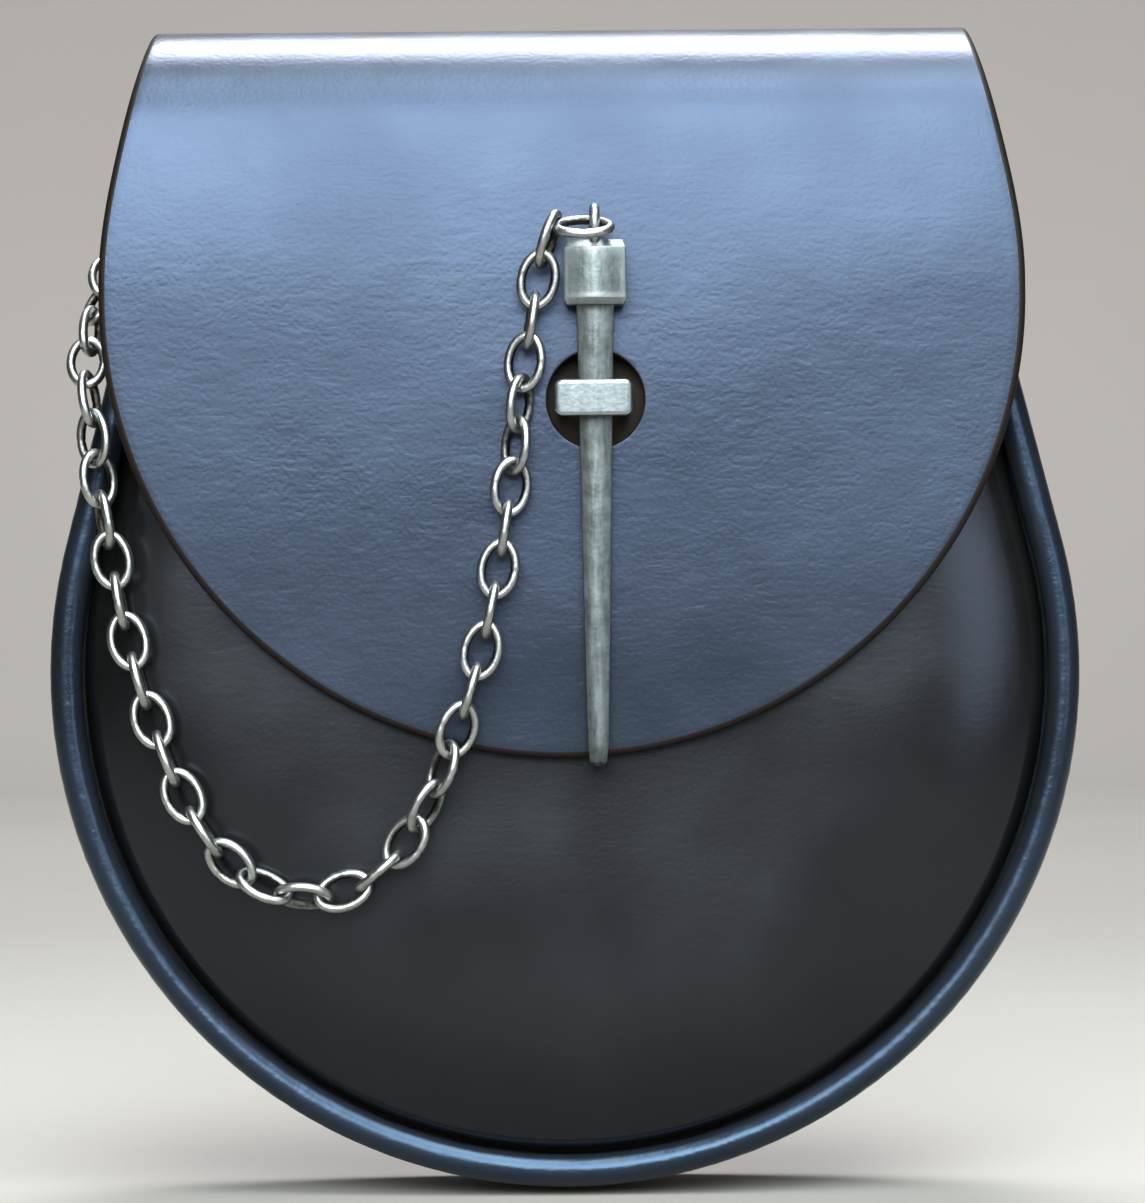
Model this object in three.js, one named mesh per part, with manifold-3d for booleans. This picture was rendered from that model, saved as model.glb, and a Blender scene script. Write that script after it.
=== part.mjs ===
// Sporran pouch: a round leather pouch with a piped front, worn at the waist. Its flap comes over the
// top from the back, and a pin on a chain locks it through a staple.
// Millimetres, +Z up, and the front faces -Y. The origin is on the back, where the belt goes through.
import * as THREE from "three";
import { mergeVertices } from "three/addons/utils/BufferGeometryUtils.js";
import Module from "manifold-3d";

const wasm = await Module();
wasm.setup();
const { degToRad, lerp, clamp, smoothstep } = THREE.MathUtils;

// Room between pieces that touch
const GAP = 0.3;

// Outline of the body from the front: a round, and above it straight sides that lean in.
// Heights are above the round's centre, and depths are forward of the back's rear face.
const BODY_RADIUS = 95;
const SIDE_LEAN = degToRad(14.4);
const MOUTH_HEIGHT = 94;
const OUTLINE_STEPS = 44;

// Leather
const BACK_THICK = 2.6;
const PANEL_THICK = 2.2;
const GUSSET_THICK = 2;
const LOOP_THICK = 2.4;

// Gusset, bowed in along its middle
const GUSSET_DEPTH = 28;
const GUSSET_RADIUS = 92.5;
const GUSSET_BOW = 2;
const GUSSET_COLUMNS = 4;

// Piping in front of the gusset
const PIPING_RADIUS = 3;
const PIPING_SIDES = 8;
const PIPING_LINE = BODY_RADIUS - PIPING_RADIUS;
const PIPING_DEPTH = BACK_THICK + GUSSET_DEPTH + 2 * GAP + PIPING_RADIUS;

// Front panel inside the piping, rising from its sewn edge to a flat middle
const PANEL_RADIUS = PIPING_LINE - PIPING_RADIUS - GAP;
const PANEL_DOME = 6.5;
const DOME_REACH = 38;
const DOME_POWER = 3;
const PANEL_ROWS = 16;
const PANEL_COLUMNS = 14;
const PANEL_FACE = PIPING_DEPTH + PANEL_THICK / 2 + PANEL_DOME;

// Sheet of the back and the flap. Its run is measured along the leather from the top of the fold, where
// the sheet is narrow, and it flares from there to the flap's round.
const TOP_HEIGHT = 119.8;
const BACK_RADIUS = 93;
const FLAP_RADIUS = 84.5;
const FLAP_WIDEST_RUN = 64.3;
const FOLD_HALF = 76;
const FLARE_START = 4;
const FLARE_END = 62;
const ROUND_ROWS = 14;
const BEND_ROWS = 6;
const BACK_BENDS = [{ name: "back of the fold", radius: 21, turn: degToRad(90) }];
const FLAP_BENDS = [
  { name: "front of the fold", radius: 23, turn: degToRad(80) },
  { name: "shoulder", radius: 230, turn: degToRad(8) },
  { name: "belly", radius: 1000, turn: degToRad(4.9) },
];
const FLAP_FACE = 47.6;

// Hole in the flap, right of the middle, with the pin and staple on its line
const LOCK_X = 6;
const LOCK_HEIGHT = 49.8;
const HOLE_RADIUS = 8.8;
const HOLE_SIDES = 28;

// Pin: flat at the back, and two facets meet in a ridge at the front
const PIN_BACK = FLAP_FACE + GAP;
const PIN_TOP = 78.4;
const PIN_SIDE_PART = 0.82;
const PIN_SECTIONS = [
  { name: "top of the head", below: 0, width: 10.4, depth: 6.6 },
  { name: "upper head", below: 1.4, width: 11.2, depth: 8.2 },
  { name: "lower head", below: 10.6, width: 11.2, depth: 8.2 },
  { name: "foot of the head", below: 11.8, width: 10.4, depth: 7.2 },
  { name: "top of the shank", below: 11.8, width: 6.8, depth: 5 },
  { name: "end of the shank", below: 93.6, width: 3.7, depth: 2.9 },
  { name: "tip", below: 95.4, width: 2.2, depth: 1.9 },
];

// Eye on the pin's head, an arch seen edge-on from the front
const PIN_EYE_DEPTH = 52;
const PIN_EYE_HALF = 2.3;
const PIN_EYE_WIRE = 0.95;
const PIN_EYE_RISE = 3.5;
const PIN_EYE_SUNK = 1.5;
const PIN_EYE_STEPS = 6;

// Staple, its feet turned out behind the front panel
const STAPLE_X = 5.6;
const STAPLE_WIDTH = 14;
const STAPLE_HEIGHT = 6.6;
const STAPLE_THICK = 2.6;
const STAPLE_LEG = 2.3;
const STAPLE_FOOT = 3;
const STAPLE_FOOT_THICK = 1.6;
const STAPLE_BACK = 53.3;
const STAPLE_EDGE = 0.5;

// Chain of oval links. The first lies on the pin's head around the front of its eye, and the others
// hang from it over the flap and the panel to the eye on the left side.
const LINK_COUNT = 38;
const LINK_WIRE = 0.775;
const LINK_SLACK = 0.5;
const LINK_WIDTH = 7.8;
const LINK_STEPS = 14;
const LINK_SIDES = 6;
const FIRST_LINK_JOINT = { x: 7.8, depth: 54.8, height: 80.6 };
const CHAIN_ROUTE = [
  { x: -1.2, depth: 53.6, height: 82.1 },
  { x: -3.6, depth: 52.6, height: 74.5 },
  { x: -6.8, depth: 52, height: 56.5 },
  { x: -9.5, depth: 52, height: 33.5 },
  { x: -12, depth: 52, height: 18.3 },
  { x: -15.1, depth: 51.8, height: 4 },
  { x: -19.8, depth: 51.3, height: -10.8 },
  { x: -29.3, depth: 48.6, height: -31 },
  { x: -39.4, depth: 47, height: -39.4 },
  { x: -50.5, depth: 46.5, height: -40.3 },
  { x: -60.8, depth: 46, height: -35 },
  { x: -69.2, depth: 45.4, height: -23.4 },
  { x: -74.8, depth: 44.4, height: -10.1 },
  { x: -79.2, depth: 43.4, height: 4.1 },
  { x: -82.3, depth: 42.6, height: 18.9 },
  { x: -84.8, depth: 42.6, height: 33.8 },
  { x: -86.4, depth: 41.4, height: 48.2 },
  { x: -87.6, depth: 36.5, height: 59.5 },
  { x: -84.4, depth: 19.7, height: 76.8 },
];
// Turn of the chain about its line, in degrees, over the alternate turns of its links
const CHAIN_TWIST = [
  { link: 1, twist: 62 },
  { link: 2, twist: 15 },
  { link: 3, twist: 0 },
  { link: 4, twist: -5 },
  { link: 9, twist: 90 },
  { link: 13, twist: 90 },
  { link: 18, twist: 0 },
  { link: 23, twist: 90 },
  { link: 30, twist: 90 },
  { link: 35, twist: 180 },
  { link: 37, twist: 130 },
  { link: LINK_COUNT, twist: 110 },
];

// Eye on the left side that holds the chain
const SIDE_EYE_X = -81.2;
const SIDE_EYE_DEPTH = 19.5;
const SIDE_EYE_HEIGHT = 75.2;
const SIDE_EYE_RADIUS = 3.6;
const SIDE_EYE_WIRE = 1;
const SIDE_EYE_FOOT_RADIUS = 4.5;
const SIDE_EYE_FOOT_THICK = 1.5;
const SIDE_EYE_STEM_RADIUS = 1.6;
const SIDE_EYE_LIFT = 0.9;
const ROUND_SIDES = 16;

// Belt loop, a strap raised off the back between its two sewn ends. Heights are from its middle.
const BELT_HEIGHT = 62;
const LOOP_WIDTH = 52;
const LOOP_SECTIONS = [
  { name: "upper end", height: 34, raised: 0 },
  { name: "upper seam", height: 25, raised: 0 },
  { name: "upper rise", height: 20.5, raised: 5.6 },
  { name: "lower rise", height: -20.5, raised: 5.6 },
  { name: "lower seam", height: -25, raised: 0 },
  { name: "lower end", height: -34, raised: 0 },
];

// Finishes
const FINISHES = {
  flap_leather: { color: 0x23262d, roughness: 0.45, metalness: 0 },
  body_leather: { color: 0x1c1d20, roughness: 0.5, metalness: 0 },
  piping_leather: { color: 0x1c1f24, roughness: 0.45, metalness: 0 },
  cast_metal: { color: 0x9aa0a2, roughness: 0.35, metalness: 1 },
  chain_metal: { color: 0x878c8e, roughness: 0.35, metalness: 1 },
};

// A point from its place across, its depth forward of the back and its height
const at = (x, depth, height) => new THREE.Vector3(x, -depth, height);

// A closed surface from triangles, without the ones that have no area, and facing out
function closedSurface(triangles) {
  const whole = triangles.filter(([a, b, c]) => !a.equals(b) && !b.equals(c) && !c.equals(a));
  const volume = whole.reduce((sum, [a, b, c]) => sum + a.dot(b.clone().cross(c)), 0);
  const facing = whole.map(([a, b, c]) => (volume > 0 ? [a, b, c] : [a, c, b]));
  const geometry = new THREE.BufferGeometry().setFromPoints(facing.flat());
  geometry.computeVertexNormals();
  return geometry;
}

const quad = (a, b, c, d) => [[a, b, c], [a, c, d]];

// A leather wall: place(row, column, face) is a point of its outer face, 0, or its inner face, 1
function leatherWall(rows, columns, place) {
  const grid = [0, 1].map((face) =>
    Array.from({ length: rows + 1 }, (_, row) =>
      Array.from({ length: columns + 1 }, (_, column) => place(row, column, face))));
  const [outer, inner] = grid;
  const triangles = [];
  for (let row = 0; row < rows; row++) {
    for (let column = 0; column < columns; column++) {
      const [i, j] = [row + 1, column + 1];
      triangles.push(...quad(outer[row][column], outer[i][column], outer[i][j], outer[row][j]));
      triangles.push(...quad(inner[row][column], inner[row][j], inner[i][j], inner[i][column]));
    }
    triangles.push(...quad(outer[row][0], inner[row][0], inner[row + 1][0], outer[row + 1][0]));
    triangles.push(...quad(
      outer[row][columns], outer[row + 1][columns], inner[row + 1][columns], inner[row][columns]));
  }
  for (let column = 0; column < columns; column++) {
    triangles.push(...quad(outer[0][column], outer[0][column + 1], inner[0][column + 1], inner[0][column]));
    triangles.push(...quad(
      outer[rows][column], inner[rows][column], inner[rows][column + 1], outer[rows][column + 1]));
  }
  return closedSurface(triangles);
}

// A solid through rings of points, closed with a fan at each end
function loft(rings) {
  const triangles = [];
  const count = rings[0].length;
  for (let ring = 0; ring + 1 < rings.length; ring++) {
    for (let i = 0; i < count; i++) {
      const j = (i + 1) % count;
      triangles.push(...quad(rings[ring][i], rings[ring][j], rings[ring + 1][j], rings[ring + 1][i]));
    }
  }
  const last = rings[rings.length - 1];
  for (let i = 1; i + 1 < count; i++) {
    triangles.push([rings[0][0], rings[0][i + 1], rings[0][i]]);
    triangles.push([last[0], last[i], last[i + 1]]);
  }
  return closedSurface(triangles);
}

// Booleans
function solid(geometry) {
  const bare = geometry.clone();
  bare.deleteAttribute("normal");
  bare.deleteAttribute("uv");
  const merged = mergeVertices(bare, 1e-4);
  return new wasm.Manifold(new wasm.Mesh({
    numProp: 3,
    vertProperties: new Float32Array(merged.getAttribute("position").array),
    triVerts: new Uint32Array(merged.getIndex().array),
  }));
}

function surfaceOf(manifold) {
  const mesh = manifold.getMesh();
  const geometry = new THREE.BufferGeometry();
  geometry.setAttribute("position", new THREE.BufferAttribute(new Float32Array(mesh.vertProperties), 3));
  geometry.setIndex(new THREE.BufferAttribute(new Uint32Array(mesh.triVerts), 1));
  geometry.computeVertexNormals();
  return geometry;
}

const joined = (...geometries) => surfaceOf(wasm.Manifold.union(geometries.map(solid)));
const cut = (geometry, ...tools) =>
  surfaceOf(solid(geometry).subtract(wasm.Manifold.union(tools.map(solid))));

// A round wire along a line of points
function wire(points, radius, sides, steps) {
  const ring = Array.from({ length: sides }, (_, i) =>
    new THREE.Vector2(radius, 0).rotateAround(new THREE.Vector2(), (i * 2 * Math.PI) / sides));
  const extrudePath = new THREE.CatmullRomCurve3(points);
  return new THREE.ExtrudeGeometry(new THREE.Shape(ring), { steps, extrudePath });
}

// The body's outline at a distance from the round's centre, from the left end of the mouth to the right
function bodyOutline(radius) {
  const [c, s] = [radius * Math.cos(SIDE_LEAN), radius * Math.sin(SIDE_LEAN)];
  const mouth = c - (MOUTH_HEIGHT - s) * Math.tan(SIDE_LEAN);
  const path = new THREE.Path();
  path.moveTo(-mouth, MOUTH_HEIGHT);
  path.lineTo(-c, s);
  path.absarc(0, 0, radius, Math.PI - SIDE_LEAN, 2 * Math.PI + SIDE_LEAN, false);
  path.lineTo(mouth, MOUTH_HEIGHT);
  return path;
}

// How far inside the body's outline of a radius a point is
function inset(radius, x, height) {
  const side = Math.abs(x) * Math.cos(SIDE_LEAN) + height * Math.sin(SIDE_LEAN);
  const onSide = Math.atan2(height, Math.abs(x)) > SIDE_LEAN;
  return radius - (onSide ? side : Math.hypot(x, height));
}

// The half width of the body at a height
function bodyHalf(radius, height) {
  const onSide = height > radius * Math.sin(SIDE_LEAN);
  return onSide
    ? (radius - height * Math.sin(SIDE_LEAN)) / Math.cos(SIDE_LEAN)
    : Math.sqrt(Math.max(radius * radius - height * height, 0));
}

// Where a run over some bends, level at its start, has got to: how far out, how far down, and its slope
function follow(bends, run) {
  let [out, down, slope, left] = [0, 0, 0, run];
  for (const { radius, turn } of bends) {
    const next = slope + Math.min(turn, left / radius);
    out += radius * (Math.sin(next) - Math.sin(slope));
    down += radius * (Math.cos(slope) - Math.cos(next));
    left -= radius * (next - slope);
    slope = next;
  }
  return { out: out + left * Math.cos(slope), down: down + left * Math.sin(slope), slope };
}

// Back and flap
const bendLength = (bends) => bends.reduce((sum, { radius, turn }) => sum + radius * turn, 0);
const BACK_BEND_RUN = bendLength(BACK_BENDS);
const BACK_CENTRE_RUN = BACK_BEND_RUN + TOP_HEIGHT - BACK_BENDS[0].radius;

const flapHalf = (run) => {
  const beyond = run - FLAP_WIDEST_RUN;
  return beyond > 0
    ? Math.sqrt(Math.max(FLAP_RADIUS ** 2 - beyond ** 2, 0))
    : lerp(FOLD_HALF, FLAP_RADIUS, smoothstep(run, FLARE_START, FLARE_END));
};

// The back's sides run straight from the top of the fold to where they touch its round
const BACK_LEAN = Math.atan2(BACK_CENTRE_RUN, FOLD_HALF)
  - Math.acos(BACK_RADIUS / Math.hypot(BACK_CENTRE_RUN, FOLD_HALF));

const backHalf = (height) =>
  height > BACK_RADIUS * Math.sin(BACK_LEAN)
    ? (BACK_RADIUS - height * Math.sin(BACK_LEAN)) / Math.cos(BACK_LEAN)
    : Math.sqrt(Math.max(BACK_RADIUS ** 2 - height ** 2, 0));

function flapRows() {
  const rows = [];
  for (let i = 0; i <= ROUND_ROWS; i++) {
    const angle = lerp(-Math.PI / 2, BACK_LEAN, i / ROUND_ROWS);
    const height = BACK_RADIUS * Math.sin(angle);
    rows.push({ run: height - BACK_CENTRE_RUN, half: i ? backHalf(height) : 0 });
  }
  for (let i = 0; i < BEND_ROWS; i++) {
    const run = -BACK_BEND_RUN * (1 - i / BEND_ROWS);
    rows.push({ run, half: backHalf(run + BACK_CENTRE_RUN) });
  }
  for (let i = 0; i < 2 * BEND_ROWS; i++) {
    const run = (FLAP_WIDEST_RUN * i) / (2 * BEND_ROWS);
    rows.push({ run, half: flapHalf(run) });
  }
  for (let i = 0; i <= ROUND_ROWS; i++) {
    const run = FLAP_WIDEST_RUN + FLAP_RADIUS * Math.sin((Math.PI / 2) * (i / ROUND_ROWS));
    rows.push({ run, half: i < ROUND_ROWS ? flapHalf(run) : 0 });
  }
  return rows;
}

function flapAndBack() {
  const rows = flapRows();
  const sheet = leatherWall(rows.length - 1, 1, (row, column, face) => {
    const { run, half } = rows[row];
    const ahead = run < 0 ? -1 : 1;
    const { out, down, slope } = follow(run < 0 ? BACK_BENDS : FLAP_BENDS, Math.abs(run));
    const inward = face * BACK_THICK;
    const depth = BACK_BENDS[0].radius + ahead * (out - inward * Math.sin(slope));
    return at(lerp(-half, half, column), depth, TOP_HEIGHT - down - inward * Math.cos(slope));
  });
  const hole = new THREE.CylinderGeometry(HOLE_RADIUS, HOLE_RADIUS, 4 * BACK_THICK, HOLE_SIDES);
  hole.translate(LOCK_X, -FLAP_FACE, LOCK_HEIGHT);
  return cut(sheet, hole);
}

// Front panel
const slotX = (side) => STAPLE_X + (side * (STAPLE_WIDTH - STAPLE_LEG)) / 2;

function frontPanel() {
  const dome = (x, height) => {
    const rise = clamp(inset(PANEL_RADIUS, x, height) / DOME_REACH, 0, 1);
    return PANEL_DOME * (1 - (1 - rise) ** DOME_POWER);
  };
  const turnOfTop = Math.asin(MOUTH_HEIGHT / (MOUTH_HEIGHT + PANEL_RADIUS));
  const sheet = leatherWall(PANEL_ROWS, PANEL_COLUMNS, (row, column, face) => {
    const angle = lerp(-Math.PI / 2, turnOfTop, row / PANEL_ROWS);
    const low = PANEL_RADIUS * Math.sin(angle);
    const high = (MOUTH_HEIGHT * Math.sin(angle)) / Math.sin(turnOfTop);
    const height = angle < 0 ? low : high;
    const across = Math.sin((Math.PI / 2) * lerp(-1, 1, column / PANEL_COLUMNS));
    const x = across * (row ? bodyHalf(PANEL_RADIUS, height) : 0);
    return at(x, PIPING_DEPTH + PANEL_THICK / 2 + dome(x, height) - face * PANEL_THICK, height);
  });
  const slots = [-1, 1].map((side) => {
    const slot = new THREE.BoxGeometry(STAPLE_LEG + 2 * GAP, 4 * PANEL_THICK, STAPLE_HEIGHT + 2 * GAP);
    return slot.translate(slotX(side), -PANEL_FACE, LOCK_HEIGHT);
  });
  return cut(sheet, ...slots);
}

// Gusset
function gusset() {
  const outline = bodyOutline(GUSSET_RADIUS);
  return leatherWall(OUTLINE_STEPS, GUSSET_COLUMNS, (row, column, face) => {
    const point = outline.getPointAt(row / OUTLINE_STEPS);
    const tangent = outline.getTangentAt(row / OUTLINE_STEPS);
    const across = column / GUSSET_COLUMNS;
    const inward = GUSSET_BOW * (1 - (2 * across - 1) ** 2) + face * GUSSET_THICK;
    const depth = BACK_THICK + GAP + GUSSET_DEPTH * across;
    return at(point.x - tangent.y * inward, depth, point.y + tangent.x * inward);
  });
}

// Piping
function piping() {
  const line = bodyOutline(PIPING_LINE).getSpacedPoints(OUTLINE_STEPS);
  const points = line.map(({ x, y }) => at(x, PIPING_DEPTH, y));
  return wire(points, PIPING_RADIUS, PIPING_SIDES, OUTLINE_STEPS);
}

// Staple
function staple() {
  const half = STAPLE_WIDTH / 2;
  const inner = half - STAPLE_LEG;
  const footFront = PANEL_FACE - PANEL_THICK - GAP;
  const footBack = footFront - STAPLE_FOOT_THICK;
  const bar = STAPLE_BACK + STAPLE_THICK;
  const rightSide = [
    { x: inner, depth: STAPLE_BACK },
    { x: inner, depth: footBack },
    { x: half + STAPLE_FOOT, depth: footBack },
    { x: half + STAPLE_FOOT, depth: footFront },
    { x: half, depth: footFront },
    { x: half, depth: bar - STAPLE_EDGE },
    { x: half - STAPLE_EDGE, depth: bar },
  ];
  const leftSide = rightSide.map(({ x, depth }) => ({ x: -x, depth })).reverse();
  const corners = [...rightSide, ...leftSide].map(({ x, depth }) => new THREE.Vector2(x, -depth));
  const geometry = new THREE.ExtrudeGeometry(new THREE.Shape(corners), {
    depth: STAPLE_HEIGHT - 2 * STAPLE_EDGE,
    bevelThickness: STAPLE_EDGE,
    bevelSize: STAPLE_EDGE,
    bevelOffset: -STAPLE_EDGE,
    bevelSegments: 1,
  });
  return geometry.translate(STAPLE_X, 0, LOCK_HEIGHT - STAPLE_HEIGHT / 2 + STAPLE_EDGE);
}

// Pin
function pin() {
  const body = loft(PIN_SECTIONS.map(({ below, width, depth }) => {
    const half = width / 2;
    const corners = [
      { x: -half, depth: 0 },
      { x: half, depth: 0 },
      { x: half, depth: depth * PIN_SIDE_PART },
      { x: 0, depth },
      { x: -half, depth: depth * PIN_SIDE_PART },
    ];
    return corners.map((corner) => at(LOCK_X + corner.x, PIN_BACK + corner.depth, PIN_TOP - below));
  }));
  const arch = Array.from({ length: PIN_EYE_STEPS + 1 }, (_, i) => {
    const angle = (Math.PI * i) / PIN_EYE_STEPS;
    const depth = PIN_EYE_DEPTH + PIN_EYE_HALF * Math.cos(angle);
    return at(LOCK_X, depth, PIN_TOP + PIN_EYE_RISE + PIN_EYE_HALF * Math.sin(angle));
  });
  const feet = [1, -1].map((side) => at(LOCK_X, PIN_EYE_DEPTH + side * PIN_EYE_HALF, PIN_TOP - PIN_EYE_SUNK));
  const eye = wire([feet[0], ...arch, feet[1]], PIN_EYE_WIRE, PIPING_SIDES, ROUND_SIDES);
  return joined(body, eye);
}

// Chain
const chainLine = new THREE.CatmullRomCurve3(
  CHAIN_ROUTE.map(({ x, depth, height }) => at(x, depth, height)), false, "centripetal");
const LINK_PITCH = chainLine.getLength() / (LINK_COUNT - 1);
const LINK_LENGTH = LINK_PITCH + 4 * LINK_WIRE + LINK_SLACK;

// A ring of wire drawn out to an oval along X, lying in XY
function chainLink() {
  const [long, wide] = [LINK_LENGTH / 2 - LINK_WIRE, LINK_WIDTH / 2 - LINK_WIRE];
  const geometry = new THREE.TorusGeometry(wide, LINK_WIRE, LINK_SIDES, LINK_STEPS);
  const points = geometry.getAttribute("position");
  for (let i = 0; i < points.count; i++) {
    const angle = Math.atan2(points.getY(i), points.getX(i));
    const across = Math.hypot(points.getX(i), points.getY(i)) - wide;
    const normal = new THREE.Vector2(wide * Math.cos(angle), long * Math.sin(angle)).normalize();
    points.setX(i, long * Math.cos(angle) + across * normal.x);
    points.setY(i, wide * Math.sin(angle) + across * normal.y);
  }
  geometry.computeVertexNormals();
  return geometry;
}

function twistAt(link) {
  const next = CHAIN_TWIST.findIndex((row) => row.link >= link);
  const [a, b] = [CHAIN_TWIST[Math.max(next - 1, 0)], CHAIN_TWIST[next]];
  const part = b.link > a.link ? (link - a.link) / (b.link - a.link) : 0;
  return degToRad(lerp(a.twist, b.twist, part));
}

// The place and turn of a link between two joints of the chain, every other one a quarter turn on
function placeLink(mesh, link, from, to) {
  const along = to.clone().sub(from).normalize();
  const across = along.clone().cross(new THREE.Vector3(0, -1, 0)).normalize();
  const facing = across.clone().cross(along);
  const turn = twistAt(link) + (link % 2 ? 0 : Math.PI / 2);
  mesh.position.copy(from).add(to).multiplyScalar(0.5);
  mesh.quaternion.setFromRotationMatrix(new THREE.Matrix4().makeBasis(along, across.negate(), facing));
  mesh.rotateX(turn);
}

// Eye on the left side
function sideEye() {
  const ring = new THREE.TorusGeometry(SIDE_EYE_RADIUS, SIDE_EYE_WIRE, PIPING_SIDES, ROUND_SIDES);
  ring.translate(SIDE_EYE_X, -SIDE_EYE_DEPTH, SIDE_EYE_HEIGHT);
  const wallX = -bodyHalf(GUSSET_RADIUS - GUSSET_BOW, SIDE_EYE_HEIGHT);
  const foot = new THREE.CylinderGeometry(
    SIDE_EYE_FOOT_RADIUS, SIDE_EYE_FOOT_RADIUS, SIDE_EYE_FOOT_THICK, ROUND_SIDES);
  const reach = wallX - SIDE_EYE_X - SIDE_EYE_RADIUS;
  const stem = new THREE.CylinderGeometry(
    SIDE_EYE_STEM_RADIUS, SIDE_EYE_STEM_RADIUS, reach - SIDE_EYE_LIFT, PIPING_SIDES);
  stem.translate(0, (reach + SIDE_EYE_LIFT) / 2, 0);
  foot.translate(0, SIDE_EYE_LIFT + SIDE_EYE_FOOT_THICK / 2, 0);
  for (const piece of [foot, stem]) {
    piece.rotateZ(Math.PI / 2);
    piece.rotateY(SIDE_LEAN);
    piece.translate(wallX, -SIDE_EYE_DEPTH, SIDE_EYE_HEIGHT);
  }
  return joined(ring, foot, stem);
}

// Belt loop
function beltLoop() {
  return leatherWall(LOOP_SECTIONS.length - 1, 1, (row, column, face) => {
    const { height, raised } = LOOP_SECTIONS[row];
    const depth = -(GAP + raised + (1 - face) * LOOP_THICK);
    return at(lerp(-LOOP_WIDTH / 2, LOOP_WIDTH / 2, column), depth, BELT_HEIGHT + height);
  });
}

// Assembly
const sporran = new THREE.Group();
sporran.name = "sporran";
sporran.position.z = -BELT_HEIGHT;

function add(name, geometry, finish) {
  const mesh = new THREE.Mesh(geometry, new THREE.MeshStandardMaterial(FINISHES[finish]));
  mesh.name = name;
  sporran.add(mesh);
  return mesh;
}

add("flap_and_back", flapAndBack(), "flap_leather");
add("front_panel", frontPanel(), "body_leather");
add("gusset", gusset(), "body_leather");
add("piping", piping(), "piping_leather");
add("belt_loop", beltLoop(), "body_leather");
add("staple", staple(), "cast_metal");
add("pin", pin(), "cast_metal");
add("chain_eye", sideEye(), "chain_metal");

const linkShape = chainLink();
const hanging = chainLine.getSpacedPoints(LINK_COUNT - 1);
const first = at(FIRST_LINK_JOINT.x, FIRST_LINK_JOINT.depth, FIRST_LINK_JOINT.height);
for (let link = 1; link <= LINK_COUNT; link++) {
  const name = `chain_link_${String(link).padStart(2, "0")}`;
  const from = link > 1 ? hanging[link - 2] : first;
  const to = link > 1 ? hanging[link - 1] : first.clone().setX(first.x - LINK_PITCH);
  placeLink(add(name, linkShape, "chain_metal"), link, from, to);
}

const root = new THREE.Group();
root.add(sporran);
export default root;
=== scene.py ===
# %% [markdown]
# A sporran is the leather pouch worn at the front of a kilt. This lesson gives one its looks. The packed
# CAD model is loaded first and stays where it is, and each piece below is built over its CAD node, in
# metres, with the front towards -Y and Z up.

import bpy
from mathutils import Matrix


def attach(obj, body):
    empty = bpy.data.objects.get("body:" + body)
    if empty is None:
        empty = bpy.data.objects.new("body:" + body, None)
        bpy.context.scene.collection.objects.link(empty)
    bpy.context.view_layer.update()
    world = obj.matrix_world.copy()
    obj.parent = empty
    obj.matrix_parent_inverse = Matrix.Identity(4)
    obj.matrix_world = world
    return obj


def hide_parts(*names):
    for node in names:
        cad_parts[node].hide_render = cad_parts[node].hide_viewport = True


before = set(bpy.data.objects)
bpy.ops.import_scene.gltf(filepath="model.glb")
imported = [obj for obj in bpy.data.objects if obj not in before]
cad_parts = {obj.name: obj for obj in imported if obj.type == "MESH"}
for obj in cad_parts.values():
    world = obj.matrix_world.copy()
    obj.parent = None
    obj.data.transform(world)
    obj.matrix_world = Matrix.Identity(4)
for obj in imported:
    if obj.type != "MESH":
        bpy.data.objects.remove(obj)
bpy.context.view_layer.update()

# %% [markdown]
# The pouch is easiest to think of in millimetres, with heights above the centre of its round body and
# depths forward of its back. One function turns such numbers into Blender's metres. NumPy does whole grids
# of points at once, which is much quicker than a loop over every point.

# %% Millimetres to the row frame
import math

import bmesh
import bpy
import numpy as np
from mathutils import Matrix, Vector, noise

MM = 0.001
BELT_HEIGHT = 62.0


def place(x, depth, height):
    x, depth, height = np.broadcast_arrays(x, depth, height)
    return np.stack([x * MM, -depth * MM, (height - BELT_HEIGHT) * MM], axis=-1)


print("the belt loop's middle is the origin:", place(0, 0, BELT_HEIGHT))

# %% [markdown]
# The camera stands about 0.9 m in front with a long lens, level with the middle of the picture, as the
# photograph was taken. A long lens keeps the pouch's sides nearly parallel. The picture leans by less than
# half a degree, so the camera has that much roll.

# %% Camera
PICTURE_SIZE = (1145, 1203)
MM_PER_PIXEL = 0.18464
CAMERA_DISTANCE = 900.0
FRONT_SEAM_DEPTH = 34.2
CAMERA_X = 1.5
CAMERA_HEIGHT = 13.0
CAMERA_ROLL = 0.45
SENSOR = 36.0

camera = bpy.data.objects.new("camera", bpy.data.cameras.new("camera"))
bpy.context.scene.collection.objects.link(camera)
camera.data.sensor_width = SENSOR
camera.data.lens = SENSOR * CAMERA_DISTANCE / (max(PICTURE_SIZE) * MM_PER_PIXEL)
camera.location = place(CAMERA_X, FRONT_SEAM_DEPTH + CAMERA_DISTANCE, CAMERA_HEIGHT)
camera.rotation_euler = (math.pi / 2, math.radians(CAMERA_ROLL), 0)
bpy.context.scene.camera = camera
print("lens", round(camera.data.lens, 1), "mm")

# %% [markdown]
# Colours are written as the sRGB hex values that a colour picker shows, and shaders work in linear light,
# so one function converts them. One more function adds a shader node, sets it and links its inputs, so that
# a material reads as a list of its layers.

# %% Colours and nodes
def linear(code):
    values = [int(code[i:i + 2], 16) / 255 for i in (1, 3, 5)]
    return [v / 12.92 if v <= 0.04045 else ((v + 0.055) / 1.055) ** 2.4 for v in values] + [1.0]


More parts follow.
